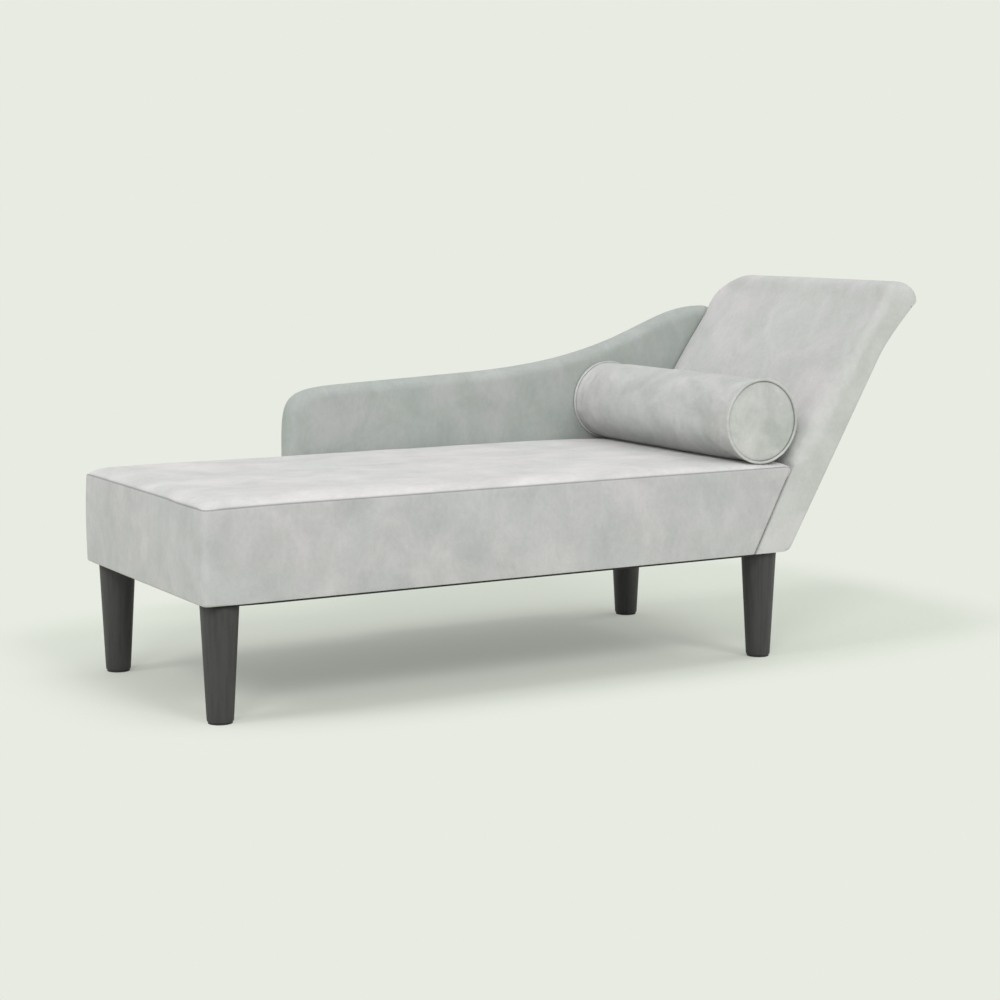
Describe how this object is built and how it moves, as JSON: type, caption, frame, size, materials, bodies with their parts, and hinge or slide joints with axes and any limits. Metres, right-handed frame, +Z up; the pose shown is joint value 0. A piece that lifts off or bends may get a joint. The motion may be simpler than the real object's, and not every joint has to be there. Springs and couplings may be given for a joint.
{
  "type": "chaise longue",
  "caption": "Padded chaise longue with a leaning, flared back, a low rear panel that sweeps up to it, tapered legs and a loose round bolster.",
  "frame": {"origin": "centre of the overall bounding box in plan, on the floor under the feet", "axes": "+X along the length from the foot end to the back, +Y from the open front to the rear panel, +Z up"},
  "size_m": [1.5014, 0.6144, 0.707],
  "materials": {
    "velvet_seat": "cut velvet, pale grey green, cloudy nap",
    "velvet_band": "cut velvet, pale grey green, cloudy nap",
    "velvet_back": "cut velvet, pale grey green, cloudy nap",
    "velvet_panel": "cut velvet, grey green in shade",
    "velvet_bolster": "cut velvet, pale grey green, cloudy nap",
    "lining": "black non-woven lining",
    "webbing": "black elastic webbing",
    "foam": "cut polyurethane foam",
    "frame_wood": "planed softwood",
    "plywood": "sanded plywood",
    "leg_black": "satin black stain",
    "glide": "moulded glide",
    "steel": "zinc-plated steel",
    "zip": "coil zip in the colour of the cover"
  },
  "bodies": {
    "couch": {"seat_rail_front": "frame_wood", "seat_rail_rear": "frame_wood", "seat_rail_foot": "frame_wood", "seat_rail_head": "frame_wood", "seat_cross_rails": "frame_wood", "corner_blocks": "frame_wood", "webbing_across": "webbing", "webbing_along": "webbing", "seat_foam": "foam", "seat_top_cover": "velvet_seat", "seat_side_cover": "velvet_band", "lining": "lining", "back_upright_front": "frame_wood", "back_upright_rear": "frame_wood", "back_rail_bottom": "frame_wood", "back_rail_middle": "frame_wood", "back_rail_top": "frame_wood", "back_board": "plywood", "back_foam": "foam", "back_top_roll": "foam", "back_cover": "velvet_back", "back_side_front": "velvet_back", "back_side_rear": "velvet_back", "panel_board": "plywood", "panel_foam_inner": "foam", "panel_foam_outer": "foam", "panel_cover": "velvet_panel", "panel_face_inner": "velvet_panel", "panel_face_outer": "velvet_panel", "panel_bolts": "steel", "frame_bolts": "steel", "leg_foot_front": "leg_black", "leg_foot_rear": "leg_black", "leg_head_front": "leg_black", "leg_head_rear": "leg_black", "leg_glides": "glide", "hanger_bolts": "steel", "insert_nuts": "steel"},
    "bolster": {"bolster_filling": "foam", "bolster_cover": "velvet_bolster", "bolster_end_front": "velvet_bolster", "bolster_end_rear": "velvet_bolster", "bolster_piping_front": "velvet_bolster", "bolster_piping_rear": "velvet_bolster", "bolster_zip": "zip"}
  },
  "joints": [
    {"name": "bolster_lift", "type": "slide", "parent": "couch", "child": "bolster", "axis": [0, 0, 1], "range_m": [0, 0.35]}
  ]
}
